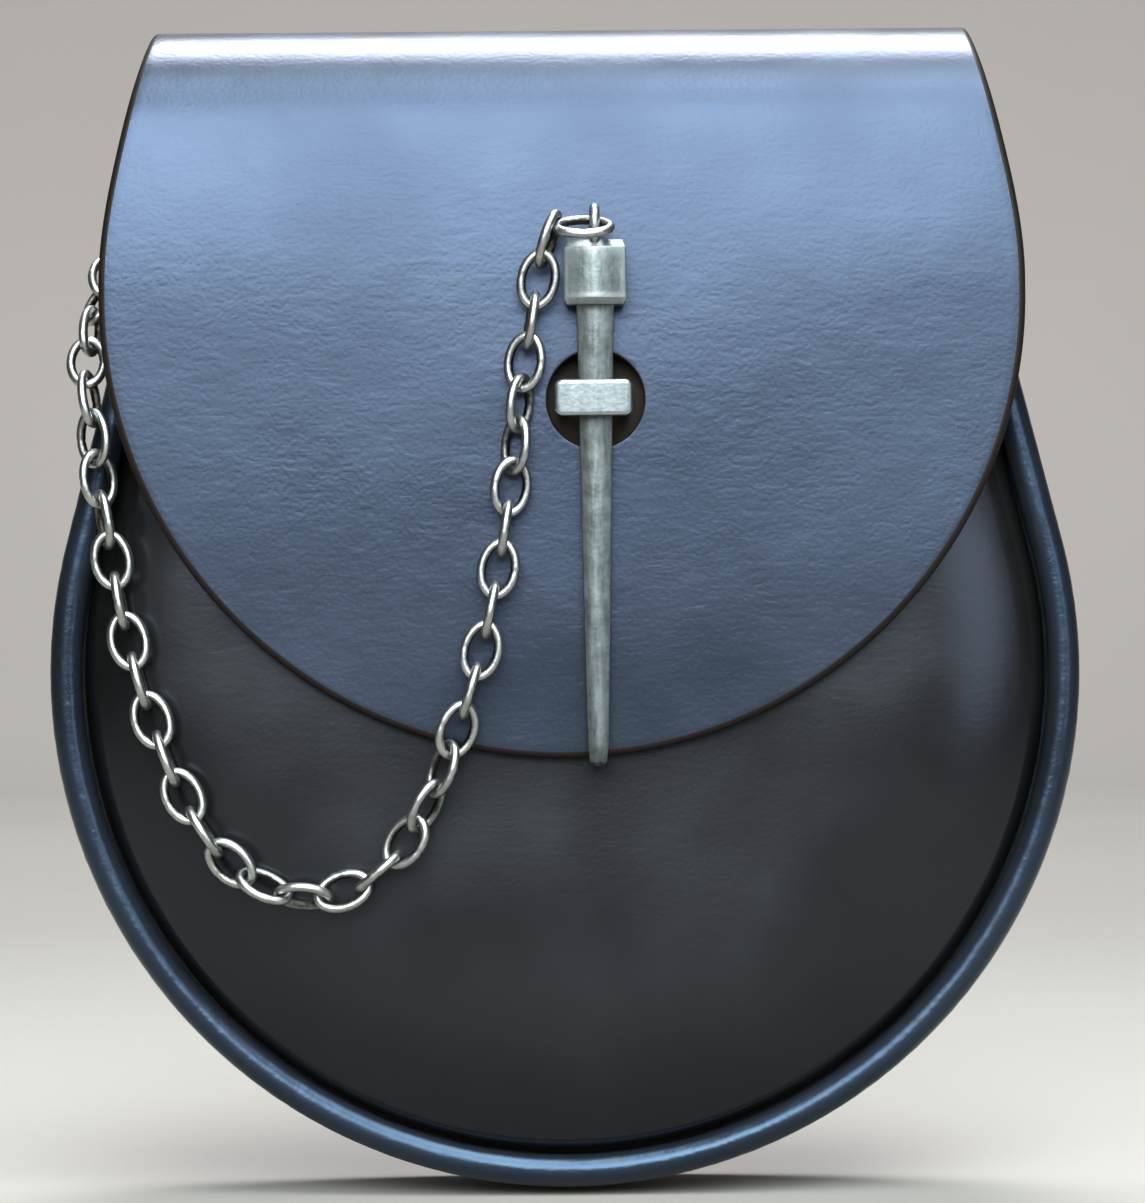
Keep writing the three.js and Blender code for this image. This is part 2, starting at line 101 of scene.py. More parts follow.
def layer(tree, kind, inputs=None, **settings):
    made = tree.nodes.new("ShaderNode" + kind)
    for name, value in settings.items():
        setattr(made, name, value)
    for name, value in (inputs or {}).items():
        if isinstance(value, bpy.types.NodeSocket):
            tree.links.new(value, made.inputs[name])
        else:
            made.inputs[name].default_value = value
    return made


def start_material(name):
    material = bpy.data.materials.new(name)
    material.use_nodes = True
    tree = material.node_tree
    where = layer(tree, "TexCoord").outputs["Object"]
    return material, tree, tree.nodes["Principled BSDF"], where


def per_mm(size):
    return 1 / (size * MM)


print("a 1.2 mm grain has a texture scale of", round(per_mm(1.2)))

# %% [markdown]
# The leather is smooth black cowhide, vegetable tanned, dyed through and waxed. Three layers of relief give
# it its look: slow hills where the hide is slack, fine creases a few millimetres long, and a pebble grain of
# about a millimetre, drawn a little coarser than real pores, which are too fine for a picture. A smooth
# noise with its tops and valleys flattened makes the pebbles, and is quick to render. The wax gives leather its
# satin gloss, and it lies unevenly, so the roughness varies a little over some centimetres. For the panel
# where the flap covers it, a browner copy with almost no gloss is made: painted shade for the flap's shadow.

# %% Waxed black leather
def black_leather(name, deep, worn, sheen, relief, gloss, glint=0.5):
    material, tree, surface, where = start_material(name)
    drift = layer(tree, "TexNoise", {"Vector": where, "Scale": per_mm(9), "Detail": 0.0})
    bend = layer(tree, "VectorMath", {0: drift.outputs["Color"], 1: (1.6 * MM,) * 3}, operation="MULTIPLY")
    drawn = layer(tree, "VectorMath", {0: where, 1: bend.outputs[0]}, operation="ADD").outputs[0]
    slack = layer(tree, "TexNoise", {"Vector": where, "Scale": per_mm(16), "Detail": 2.0})
    lying = layer(tree, "Mapping", {"Vector": drawn, "Scale": (0.3, 1.0, 1.0)})
    creases = layer(tree, "TexNoise", {"Vector": lying.outputs[0], "Scale": per_mm(1.3), "Detail": 4.0})
    pebbles = layer(tree, "TexNoise", {"Vector": drawn, "Scale": per_mm(0.85), "Detail": 0.0})
    rounded = layer(tree, "MapRange", {"Value": pebbles.outputs[0], "From Min": 0.3, "From Max": 0.6},
                    interpolation_type="SMOOTHSTEP")
    hills = layer(tree, "Bump", {"Height": slack.outputs[0], "Strength": 0.5 * relief,
                                 "Distance": 0.5 * MM})
    lines = layer(tree, "Bump", {"Height": creases.outputs[0], "Strength": 0.5 * relief,
                                 "Distance": 0.1 * MM, "Normal": hills.outputs[0]})
    grain = layer(tree, "Bump", {"Height": rounded.outputs[0], "Strength": 0.4 * relief,
                                 "Distance": 0.03 * MM, "Normal": lines.outputs[0]})
    wax = layer(tree, "TexNoise", {"Vector": where, "Scale": per_mm(28), "Detail": 2.0})
    shine = layer(tree, "MapRange", {"Value": wax.outputs[0], "From Min": 0.3, "From Max": 0.7,
                                     "To Min": gloss - 0.04, "To Max": gloss + 0.05})
    tint = layer(tree, "Mix", {"Factor": wax.outputs[0], "A": linear(deep), "B": linear(worn)},
                 data_type="RGBA")
    tree.links.new(tint.outputs["Result"], surface.inputs["Base Color"])
    tree.links.new(shine.outputs[0], surface.inputs["Roughness"])
    tree.links.new(grain.outputs[0], surface.inputs["Normal"])
    surface.inputs["IOR"].default_value = 1.5
    surface.inputs["Specular IOR Level"].default_value = glint
    surface.inputs["Specular Tint"].default_value = linear(sheen)
    return material


# One black hide in three copies: the flap's lighter with a blue gloss, the body's darker with a near-neutral
# gloss, the piping's with the bluest gloss. These differences are painted light and shade for how each part
# faces the lamps.
FLAP_LEATHER = black_leather("waxed_black_cowhide_flap", "#121417", "#1b1e23", "#bcd4ff", 0.75, 0.33)
BODY_LEATHER = black_leather("waxed_black_cowhide_body", "#070707", "#0f0e0d", "#c8d0de", 0.3, 0.24)
PIPING_LEATHER = black_leather("waxed_black_cowhide_piping", "#0d0f12", "#171a1f", "#aed4ff", 0.8, 0.28)
# A browner copy with little gloss for the panel under the flap: painted shade for the flap's shadow.
COVERED_PAINTED_SHADE_LEATHER = black_leather("painted_shade_covered_cowhide", "#1c140c", "#281d13", "#ffffff", 0.6, 0.5, 0.1)
print("leathers:", FLAP_LEATHER.name, BODY_LEATHER.name, PIPING_LEATHER.name, COVERED_PAINTED_SHADE_LEATHER.name)

# %% [markdown]
# Leather has two more faces. Its flesh side, inside the pouch, is matt and fibrous brown-black where the
# dye has sunk in. Its cut edges are rubbed smooth with wax, so they're browner and a little glossier, with
# the fibre layers still showing as thin lines.

# %% Flesh side and rubbed edge
def flesh_side(name):
    material, tree, surface, where = start_material(name)
    fibre = layer(tree, "TexNoise", {"Vector": where, "Scale": per_mm(0.9), "Detail": 6.0, "Roughness": 0.7})
    patch = layer(tree, "TexNoise", {"Vector": where, "Scale": per_mm(22), "Detail": 3.0})
    tint = layer(tree, "Mix", {"Factor": patch.outputs[0], "A": linear("#17120f"), "B": linear("#2a211b")},
                 data_type="RGBA")
    nap = layer(tree, "Bump", {"Height": fibre.outputs[0], "Strength": 0.7, "Distance": 0.15 * MM})
    tree.links.new(tint.outputs["Result"], surface.inputs["Base Color"])
    tree.links.new(nap.outputs[0], surface.inputs["Normal"])
    surface.inputs["Roughness"].default_value = 0.9
    surface.inputs["Sheen Weight"].default_value = 0.15
    return material


def rubbed_edge(name):
    material, tree, surface, where = start_material(name)
    fibre = layer(tree, "TexNoise", {"Vector": where, "Scale": per_mm(0.6), "Detail": 4.0})
    tint = layer(tree, "Mix", {"Factor": fibre.outputs[0], "A": linear("#090604"), "B": linear("#17100a")},
                 data_type="RGBA")
    ridges = layer(tree, "Bump", {"Height": fibre.outputs[0], "Strength": 0.4, "Distance": 0.08 * MM})
    tree.links.new(tint.outputs["Result"], surface.inputs["Base Color"])
    tree.links.new(ridges.outputs[0], surface.inputs["Normal"])
    surface.inputs["Roughness"].default_value = 0.55
    surface.inputs["Specular IOR Level"].default_value = 0.15
    return material


FLESH = flesh_side("flesh_side_of_leather")
EDGE = rubbed_edge("rubbed_leather_edge")
print("inner faces:", FLESH.name, "edges:", EDGE.name)

# %% [markdown]
# A leather piece is a sheet of even thickness: an outer grid of points, an inner grid one thickness behind
# it, and a rim of quads round the border. The rim's corners are then rounded with a bevel, as a maker takes
# off an edge with a tool. Grain, flesh and edge faces each get their own material, and faces that the flap
# keeps covered get the browner, duller leather that is painted shade.

# %% A piece of leather from two grids
# The last kind of face takes the painted-shade leather under the flap.
GRAIN_FACE, FLESH_FACE, EDGE_FACE, PAINTED_SHADE_FACE = 0, 1, 2, 3


def new_piece(name, points, faces, face_slots, materials, cad_slot, *nodes, **spot_values):
    mesh = bpy.data.meshes.new(name)
    mesh.from_pydata([list(p) for p in points], [], [[int(i) for i in face] for face in faces])
    for material in materials:
        mesh.materials.append(material)
    mesh.polygons.foreach_set("material_index", np.asarray(face_slots, np.int32))
    for title, values in spot_values.items():
        stored = mesh.attributes.new(title, "FLOAT", "POINT")
        stored.data.foreach_set("value", np.broadcast_to(np.asarray(values, np.float32), len(points)))
    shaped = bmesh.new()
    shaped.from_mesh(mesh)
    bmesh.ops.remove_doubles(shaped, verts=shaped.verts, dist=1e-6)
    bmesh.ops.recalc_face_normals(shaped, faces=shaped.faces)
    for face in shaped.faces:
        face.smooth = True
    shaped.to_mesh(mesh)
    shaped.free()
    piece = bpy.data.objects.new(name, mesh)
    bpy.context.scene.collection.objects.link(piece)
    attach(piece, "root")
    if nodes:
        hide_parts(*nodes)
    print(name, len(mesh.vertices), "points", len(mesh.polygons), "faces")
    return piece


def round_edges(piece, width_mm, segments=3, angle=50):
    bevel = piece.modifiers.new("rounded_edges", "BEVEL")
    bevel.width = width_mm * MM
    bevel.segments = segments
    bevel.limit_method = "ANGLE"
    bevel.angle_limit = math.radians(angle)
    return piece


def grid_quads(ids):
    return np.stack([ids[:-1, :-1], ids[:-1, 1:], ids[1:, 1:], ids[1:, :-1]], axis=-1).reshape(-1, 4)


def border_of(ids):
    return np.concatenate([ids[0, :-1], ids[:-1, -1], ids[-1, :0:-1], ids[:0:-1, 0]])


def ring_quads(a, b):
    return np.stack([a, np.roll(a, -1), np.roll(b, -1), b], axis=-1)


def leather_sheet(name, outer, inner, materials, cad_slot, *nodes, painted_shade_cells=None):
    rows, columns = outer.shape[:2]
    ids = np.arange(rows * columns).reshape(rows, columns)
    back = ids + rows * columns
    rim = ring_quads(border_of(ids), border_of(back))
    faces = np.concatenate([grid_quads(ids), grid_quads(back), rim])
    cells = (rows - 1) * (columns - 1)
    grain = [GRAIN_FACE] * cells if painted_shade_cells is None else np.where(painted_shade_cells.ravel(), PAINTED_SHADE_FACE, GRAIN_FACE)
    slots = np.concatenate([grain, [FLESH_FACE] * cells, [EDGE_FACE] * len(rim)])
    points = np.concatenate([outer.reshape(-1, 3), inner.reshape(-1, 3)])
    return new_piece(name, points, faces, slots, materials, cad_slot, *nodes)


print("leather sheets have", PAINTED_SHADE_FACE + 1, "kinds of face")

# %% [markdown]
# Back and flap are one sheet. It rises flat behind the pouch, goes over the top in a round fold and comes
# down in front with a slight belly. The sheet bends only one way, like real thick leather, so a side view
# made of arcs is enough, and the run along the leather says where a point is. The same sizes as in the CAD
# model are used here.

# %% Side view of the back and the flap
BACK_THICK = 2.6
TOP_HEIGHT = 119.8
BACK_RADIUS = 93.0
FLAP_RADIUS = 84.5
FLAP_WIDEST_RUN = 64.3
FOLD_HALF = 76.0
FLARE_START, FLARE_END = 4.0, 62.0
FOLD_DEPTH = 21.0
BACK_BENDS = [(FOLD_DEPTH, math.radians(90))]
FLAP_BENDS = [(23.0, math.radians(80)), (230.0, math.radians(8)), (1000.0, math.radians(4.9))]
BACK_CENTRE_RUN = FOLD_DEPTH * math.pi / 2 + TOP_HEIGHT - FOLD_DEPTH


def follow(bends, run):
    out, down, slope, left = np.zeros_like(run), np.zeros_like(run), np.zeros_like(run), run.copy()
    for radius, turn in bends:
        after = slope + np.minimum(turn, left / radius)
        out += radius * (np.sin(after) - np.sin(slope))
        down += radius * (np.cos(slope) - np.cos(after))
        left -= radius * (after - slope)
        slope = after
    return out + left * np.cos(slope), down + left * np.sin(slope), slope


def on_sheet(x, run, inward):
    ahead = np.where(run < 0, -1.0, 1.0)
    back, flap = follow(BACK_BENDS, np.abs(run)), follow(FLAP_BENDS, np.abs(run))
    out, down, slope = (np.where(run < 0, b, f) for b, f in zip(back, flap))
    depth = FOLD_DEPTH + ahead * (out - inward * np.sin(slope))
    return x, depth, TOP_HEIGHT - down - inward * np.cos(slope)


flap_tip = on_sheet(0.0, np.array(FLAP_WIDEST_RUN + FLAP_RADIUS), 0.0)
print("the flap's tip is at depth", round(float(flap_tip[1]), 1), "height", round(float(flap_tip[2]), 1))

# %% [markdown]
# From the front, back and flap each end in a half round. Squeezing a square grid into a half disc, with x =
# u*sqrt(1 - v*v/2), leaves no point where all rows meet, so the grain and the gloss stay even down to the
# tip. Above the half rounds the rows are plain straight lines of the right width. The grid stops a little
# inside the outline, where the rounding of the cut edge begins.

# %% Grid over the back and the flap
RIM_ROUND = 1.25


def half_round(radius, u, v):
    u, v = np.meshgrid(u, v)
    return radius * u * np.sqrt(1 - v * v / 2), radius * v * np.sqrt(1 - u * u / 2)


def flap_half(run):
    part = np.clip((run - FLARE_START) / (FLARE_END - FLARE_START), 0, 1)
    return FOLD_HALF + (FLAP_RADIUS - FOLD_HALF) * part * part * (3 - 2 * part)


back_lean = math.atan2(BACK_CENTRE_RUN, FOLD_HALF) - math.acos(
    BACK_RADIUS / math.hypot(BACK_CENTRE_RUN, FOLD_HALF))


def back_half(height):
    side = (BACK_RADIUS - height * math.sin(back_lean)) / math.cos(back_lean)
    return np.where(height > BACK_RADIUS * math.sin(back_lean), side, np.sqrt(
        np.maximum(BACK_RADIUS ** 2 - height ** 2, 0)))


GRID_COLUMNS = 97
BACK_ROUND_ROWS, BACK_ROWS = 44, 72
FLAP_ROWS, FLAP_ROUND_ROWS = 50, 62
across = np.linspace(-1, 1, GRID_COLUMNS)
back_x, back_drop = half_round(BACK_RADIUS - RIM_ROUND, across, np.linspace(-1, 0, BACK_ROUND_ROWS)[:-1])
back_rise = np.linspace(0, BACK_CENTRE_RUN, BACK_ROWS)[:-1]
flap_rows = np.linspace(0, FLAP_WIDEST_RUN, FLAP_ROWS)[:-1]
flap_x, flap_drop = half_round(FLAP_RADIUS - RIM_ROUND, across, np.linspace(0, 1, FLAP_ROUND_ROWS))
sheet_x = np.concatenate([back_x, np.outer(back_half(back_rise) - RIM_ROUND, across),
                          np.outer(flap_half(flap_rows) - RIM_ROUND, across), flap_x])
sheet_run = np.concatenate([back_drop - BACK_CENTRE_RUN,
                            np.repeat(back_rise - BACK_CENTRE_RUN, len(across)).reshape(-1, len(across)),
                            np.repeat(flap_rows, len(across)).reshape(-1, len(across)),
                            flap_drop + FLAP_WIDEST_RUN])
print("sheet grid", sheet_x.shape)

# %% [markdown]
# Real leather is never dead flat, so slow waves of a fraction of a millimetre run through the flap. The
# hole for the staple is punched through it: a block of cells is left out and rings of quads lead from the
# block's border to the round hole. A cut edge is taken off round and rubbed, so more rings lead round it
# from the grain side to the flesh side. Its lower half looks down at the floor, and that's the dark rim of
# the flap.

# %% Flap with its punched hole
LOCK_X = 6.0
LOCK_HEIGHT = 49.8
HOLE_RADIUS = 8.8
HOLE_BLOCK = 12.5
HOLE_RINGS = (0.3, 0.55, 0.75, 0.9, 1.0)
HOLE_ROUND = 0.35
ROUND_TURNS = np.radians([18, 36, 54, 72, 90])
WAVE_MM = 0.35
WAVE_ACROSS, WAVE_ALONG = 55.0, 38.0
WAVE_START = 40.0


def waves(x, run, size_mm):
    flat = np.stack([np.ravel(x) / WAVE_ACROSS, np.ravel(run) / WAVE_ALONG, np.zeros(np.size(x))], axis=-1)
    height = np.array([noise.noise(Vector(p)) for p in flat]).reshape(np.shape(x))
    return size_mm * height * np.clip(run / WAVE_START, 0, 1)


def sheet_point(x, run, inward):
    x, depth, height = on_sheet(x, run, inward)
    return place(x, depth - waves(x, run, WAVE_MM), height)


flap_middle = float(on_sheet(0.0, np.array(FLAP_WIDEST_RUN), 0.0)[2])
hole_run = FLAP_WIDEST_RUN + flap_middle - LOCK_HEIGHT
middle = int(np.argmin(np.abs(sheet_x[-1] - LOCK_X)))
row_of = np.where(np.abs(sheet_run[:, middle] - hole_run) < HOLE_BLOCK)[0]
hole_row = int(np.argmin(np.abs(sheet_run[:, middle] - hole_run)))
column_of = np.where(np.abs(sheet_x[hole_row] - LOCK_X) < HOLE_BLOCK)[0]
block = (slice(row_of[0], row_of[-1] + 1), slice(column_of[0], column_of[-1] + 1))


def punched_face(ids, start, inward):
    keep = np.ones((ids.shape[0] - 1, ids.shape[1] - 1), bool)
    keep[row_of[0]:row_of[-1], column_of[0]:column_of[-1]] = False
    faces = [grid_quads(ids)[keep.ravel()]]
    ring = border_of(ids[block])
    x0, run0 = border_of(sheet_x[block]), border_of(sheet_run[block])
    angle = np.arctan2(run0 - hole_run, x0 - LOCK_X)
    points = [sheet_point(sheet_x, sheet_run, inward).reshape(-1, 3)]
    for part in HOLE_RINGS:
        x = x0 + part * (LOCK_X + (HOLE_RADIUS + HOLE_ROUND) * np.cos(angle) - x0)
        run = run0 + part * (hole_run + (HOLE_RADIUS + HOLE_ROUND) * np.sin(angle) - run0)
        points.append(sheet_point(x, run, inward))
        after = start + np.arange(len(ring))
        faces.append(ring_quads(ring, after))
        ring, start = after, start + len(ring)
    return np.concatenate(points), np.concatenate(faces), ring, (x, run)


def rounded_edge(x, run, first, last, start, size, way):
    out_x, out_run = (np.roll(run, -1) - np.roll(run, 1)), -(np.roll(x, -1) - np.roll(x, 1))
    length = np.hypot(out_x, out_run) * way
    front = [(size * math.sin(turn), size * (1 - math.cos(turn))) for turn in ROUND_TURNS]
    profile = front + [(out, BACK_THICK - inward) for out, inward in front[::-1]]
    points = [sheet_point(x + out * out_x / length, run + out * out_run / length, inward)
              for out, inward in profile]
    rings = [first] + [start + len(first) * i + np.arange(len(first)) for i in range(len(profile))] + [last]
    return np.concatenate(points), np.concatenate([ring_quads(a, b) for a, b in zip(rings, rings[1:])])


cell_ids = np.arange(sheet_x.size).reshape(sheet_x.shape)
grain_points, grain_faces, grain_ring, hole_line = punched_face(cell_ids, sheet_x.size, 0.0)
shift = len(grain_points)
flesh_points, flesh_faces, flesh_ring, hole_line = punched_face(cell_ids, sheet_x.size, BACK_THICK)
outline = border_of(cell_ids)
rim_points, rim_faces = rounded_edge(
    border_of(sheet_x), border_of(sheet_run), outline, outline + shift, 2 * shift, RIM_ROUND, 1)
wall_points, wall_faces = rounded_edge(
    *hole_line, grain_ring, flesh_ring + shift, 2 * shift + len(rim_points), HOLE_ROUND, -1)
flap = new_piece(
    "flap_and_back_leather", np.concatenate([grain_points, flesh_points, rim_points, wall_points]),
    np.concatenate([grain_faces, flesh_faces + shift, rim_faces, wall_faces]),
    [GRAIN_FACE] * len(grain_faces) + [FLESH_FACE] * len(flesh_faces)
    + [EDGE_FACE] * (len(rim_faces) + len(wall_faces)),
    [FLAP_LEATHER, FLESH, EDGE], "flap_leather", "flap_and_back")
print("hole", 2 * HOLE_RADIUS, "mm across, on the leather's run at", round(hole_run, 1))

# %% [markdown]
# The body's outline from the front is a round with straight sides that lean in above it. Three pieces
# follow it: the front panel inside the piping, the piping itself, and the gusset behind. One function says
# how far inside the outline a point is, and the panel's dome rises with that distance: steep at the sewn
# edge, where the leather turns into the seam, and flat in the middle.

# %% Front panel
SIDE_LEAN = math.radians(14.4)
BODY_RADIUS = 95.0
PIPING_RADIUS = 3.0
PANEL_RADIUS = BODY_RADIUS - 2 * PIPING_RADIUS - 0.3
PANEL_THICK = 2.2
PANEL_DOME = 6.5
DOME_REACH = 38.0
MOUTH_HEIGHT = 94.0
ROLL_REACH = 3.2
ROLL_DEPTH = 2.4
COVER_INSET = 12.0
PANEL_ROUND_ROWS, PANEL_ROWS = 60, 56
PANEL_WAVE_MM = 0.4
PANEL_WAVE_SHIFT = 100.0
PANEL_STILL_EDGE = 15.0


def inside(radius, x, height):
    side = np.abs(x) * math.cos(SIDE_LEAN) + height * math.sin(SIDE_LEAN)
    on_side = np.arctan2(height, np.abs(x)) > SIDE_LEAN
    return np.maximum(radius - np.where(on_side, side, np.hypot(x, height)), 0)


def body_half(radius, height):
    side = (radius - height * math.sin(SIDE_LEAN)) / math.cos(SIDE_LEAN)
    round_part = np.sqrt(np.maximum(radius ** 2 - height ** 2, 0))
    return np.where(height > radius * math.sin(SIDE_LEAN), side, round_part)


def panel_depth(x, height):
    distance = inside(PANEL_RADIUS, x, height)
    dome = PANEL_DOME * (1 - (1 - np.clip(distance / DOME_REACH, 0, 1)) ** 3)
    roll = ROLL_DEPTH * (1 - np.clip(distance / ROLL_REACH, 0, 1)) ** 2
    return FRONT_SEAM_DEPTH + PANEL_THICK / 2 + dome - roll


panel_x, panel_height = half_round(PANEL_RADIUS, across, np.linspace(-1, 0, PANEL_ROUND_ROWS)[:-1])
upper = np.linspace(0, MOUTH_HEIGHT, PANEL_ROWS)
panel_x = np.concatenate([panel_x, np.outer(body_half(PANEL_RADIUS, upper), across)])
panel_height = np.concatenate([panel_height, np.repeat(upper, len(across)).reshape(-1, len(across))])
still = np.clip(inside(PANEL_RADIUS, panel_x, panel_height) / PANEL_STILL_EDGE, 0, 1)
panel_face = panel_depth(panel_x, panel_height) + still * waves(
    panel_x, panel_height + PANEL_WAVE_SHIFT, PANEL_WAVE_MM)
under_flap = FLAP_RADIUS - np.hypot(panel_x, np.minimum(panel_height - flap_middle, 0))
# Panel cells well under the flap take the painted-shade leather, which stands in for the flap's shadow.
panel = leather_sheet(
    "front_panel_leather", place(panel_x, panel_face, panel_height),
    place(panel_x, panel_face - PANEL_THICK, panel_height),
    [BODY_LEATHER, FLESH, EDGE, COVERED_PAINTED_SHADE_LEATHER], "body_leather", "front_panel",
    painted_shade_cells=under_flap[:-1, :-1] > COVER_INSET)
round_edges(panel, 0.5)

# %% [markdown]
# The piping is a cord wrapped in a strip of thin leather and sewn into the front seam. It's a tube along
# the outline. The strip puckers where it's drawn round the curve, so the tube's radius has small uneven
# waves.

# %% Piping
OUTLINE_STEPS = 420
TUBE_SIDES = 22
PUCKER_MM = 0.07
PUCKER_RUN, PUCKER_SIDES, PUCKER_ROW = 2.3, 3.5, 7.0


def body_outline(radius, steps):
    straight = (MOUTH_HEIGHT - radius * math.sin(SIDE_LEAN)) / math.cos(SIDE_LEAN)
    arc = radius * (math.pi + 2 * SIDE_LEAN)
    run = np.linspace(0, 2 * straight + arc, steps)
    angle = math.pi - SIDE_LEAN + np.clip(run - straight, 0, arc) / radius
    rest = np.maximum(straight - run, 0) + np.maximum(run - straight - arc, 0)
    normal = np.stack([np.cos(angle), np.sin(angle)], axis=-1)
    up = np.stack([-np.sin(angle), np.cos(angle)], axis=-1) * np.where(run < straight, -1, 1)[:, None]
    return radius * normal + rest[:, None] * up, normal, run


def tube_piece(name, centres, sides_a, sides_b, radius, material, cad_slot, *nodes, **spot_values):
    turn = np.linspace(0, 2 * math.pi, radius.shape[1], endpoint=False)
    ring = np.cos(turn)[None, :, None] * sides_a[:, None] + np.sin(turn)[None, :, None] * sides_b[:, None]
    points = (centres[:, None] + radius[..., None] * ring).reshape(-1, 3)
    ids = np.arange(len(points)).reshape(radius.shape)
    faces = [list(f) for a, b in zip(ids[:-1], ids[1:]) for f in ring_quads(a, b)]
    faces += [list(ids[0]), list(ids[-1])]
    return new_piece(name, points, faces, [0] * len(faces), [material], cad_slot, *nodes, **spot_values)


seam, seam_normal, seam_run = body_outline(BODY_RADIUS - PIPING_RADIUS, OUTLINE_STEPS)
out_from_seam = place(seam_normal[:, 0], 0, seam_normal[:, 1] + BELT_HEIGHT) / MM
forward = np.tile(np.array([0.0, -1.0, 0.0]), (OUTLINE_STEPS, 1))
puckers = np.array([
    [noise.noise(Vector((run / PUCKER_RUN, side / PUCKER_SIDES, PUCKER_ROW))) for side in range(TUBE_SIDES)]
    for run in seam_run])
piping = tube_piece(
    "piping_leather_tube", place(seam[:, 0], FRONT_SEAM_DEPTH, seam[:, 1]), out_from_seam, forward,
    (PIPING_RADIUS + PUCKER_MM * puckers) * MM, PIPING_LEATHER, "piping_leather", "piping")
print("piping", round(seam_run[-1]), "mm long")

# %% [markdown]
# The gusset is the pouch's side wall, a strip that runs from one end of the mouth round to the other. Its
# middle is drawn in a little, as a worn gusset folds when the pouch is flat.

# %% Gusset
GUSSET_DEPTH = 28.0
GUSSET_RADIUS = 92.5
GUSSET_BOW = 2.0
GUSSET_THICK = 2.0
GUSSET_ROWS, GUSSET_COLUMNS = 260, 15
GAP = 0.3

wall, wall_normal, wall_run = body_outline(GUSSET_RADIUS, GUSSET_ROWS)
part = np.linspace(0, 1, GUSSET_COLUMNS)
bow = GUSSET_BOW * (1 - (2 * part - 1) ** 2)


def gusset_face(inward):
    offset = (bow + inward)[None, :]
    return place(wall[:, :1] - wall_normal[:, :1] * offset, BACK_THICK + GAP + GUSSET_DEPTH * part[None, :],
                 wall[:, 1:] - wall_normal[:, 1:] * offset)


gusset = leather_sheet("gusset_leather", gusset_face(0.0), gusset_face(GUSSET_THICK),
                       [BODY_LEATHER, FLESH, EDGE], "body_leather", "gusset")
round_edges(gusset, 0.4)

# %% [markdown]
# The belt loop at the back isn't in the photograph, so it's plain: one strap, sewn down at both ends and
# raised in between for a belt. A smooth step makes the bends round.

# %% Belt loop
LOOP_WIDTH = 52.0
LOOP_THICK = 2.4
LOOP_RAISED = 5.6
LOOP_ENDS = 34.0
LOOP_SEAM, LOOP_FLAT = 25.5, 20.0
LOOP_ROWS, LOOP_COLUMNS = 90, 40


def loop_face(inward):
    height = np.linspace(-LOOP_ENDS, LOOP_ENDS, LOOP_ROWS)
    step = np.clip((LOOP_SEAM - np.abs(height)) / (LOOP_SEAM - LOOP_FLAT), 0, 1)
    raised = LOOP_RAISED * step * step * (3 - 2 * step)
    x = np.linspace(-LOOP_WIDTH / 2, LOOP_WIDTH / 2, LOOP_COLUMNS)
    return place(x[None, :], -(GAP + raised + LOOP_THICK - inward)[:, None], (BELT_HEIGHT + height)[:, None])


belt_loop = leather_sheet("belt_loop_leather", loop_face(0.0), loop_face(LOOP_THICK),
                          [BODY_LEATHER, FLESH, EDGE], "body_leather", "belt_loop")
round_edges(belt_loop, 0.6)

# %% [markdown]
# Saddle stitches hold the gusset to the back and the loop's ends down. Each stitch is a short fat thread
# with its ends sunk in the leather, and waxed linen has a dull gloss with the twist of its plies showing.

# %% Stitches
STITCH_PITCH = 4.2
STITCH_LENGTH = 3.2
THREAD_RADIUS = 0.42
THREAD_STEPS, THREAD_SIDES = 7, 8
THREAD_RISE, THREAD_SINK = 0.55, 1.1
THREAD_FLAT = 0.8


def waxed_linen(name):
    material, tree, surface, where = start_material(name)
    plies = layer(tree, "TexWave", {"Vector": where, "Scale": per_mm(4.0), "Distortion": 2.0},
                  bands_direction="DIAGONAL")
    tint = layer(tree, "Mix", {"Factor": plies.outputs["Fac"], "A": linear("#141414"),
                               "B": linear("#33312e")}, data_type="RGBA")
    twist = layer(tree, "Bump", {"Height": plies.outputs["Fac"], "Strength": 0.5, "Distance": 0.08 * MM})
    tree.links.new(tint.outputs["Result"], surface.inputs["Base Color"])
    tree.links.new(twist.outputs[0], surface.inputs["Normal"])
    surface.inputs["Roughness"].default_value = 0.6
    return material


THREAD = waxed_linen("waxed_linen_thread")


def stitch_row(name, centres, along, outward, cad_slot):
    points, faces = [], []
    turn = np.linspace(0, 2 * math.pi, THREAD_SIDES, endpoint=False)
    for centre, way, out in zip(centres, along, outward):
        side = np.cross(way, out)
        first = len(points)
        for step in np.linspace(-1, 1, THREAD_STEPS):
            sink = THREAD_RADIUS * (THREAD_RISE - THREAD_SINK * step ** 4)
            radius = THREAD_RADIUS * math.sqrt(1.02 - step ** 6)
            for a in turn:
                spot = way * step * STITCH_LENGTH / 2 + side * radius * math.cos(a)
                points.append(centre + MM * (spot + out * (sink + radius * math.sin(a) * THREAD_FLAT)))
        ids = first + np.arange(THREAD_STEPS * THREAD_SIDES).reshape(THREAD_STEPS, THREAD_SIDES)
        faces += [list(f) for a, b in zip(ids[:-1], ids[1:]) for f in ring_quads(a, b)]
        faces += [list(ids[0]), list(ids[-1])]
    return new_piece(name, points, faces, [0] * len(faces), [THREAD], cad_slot)


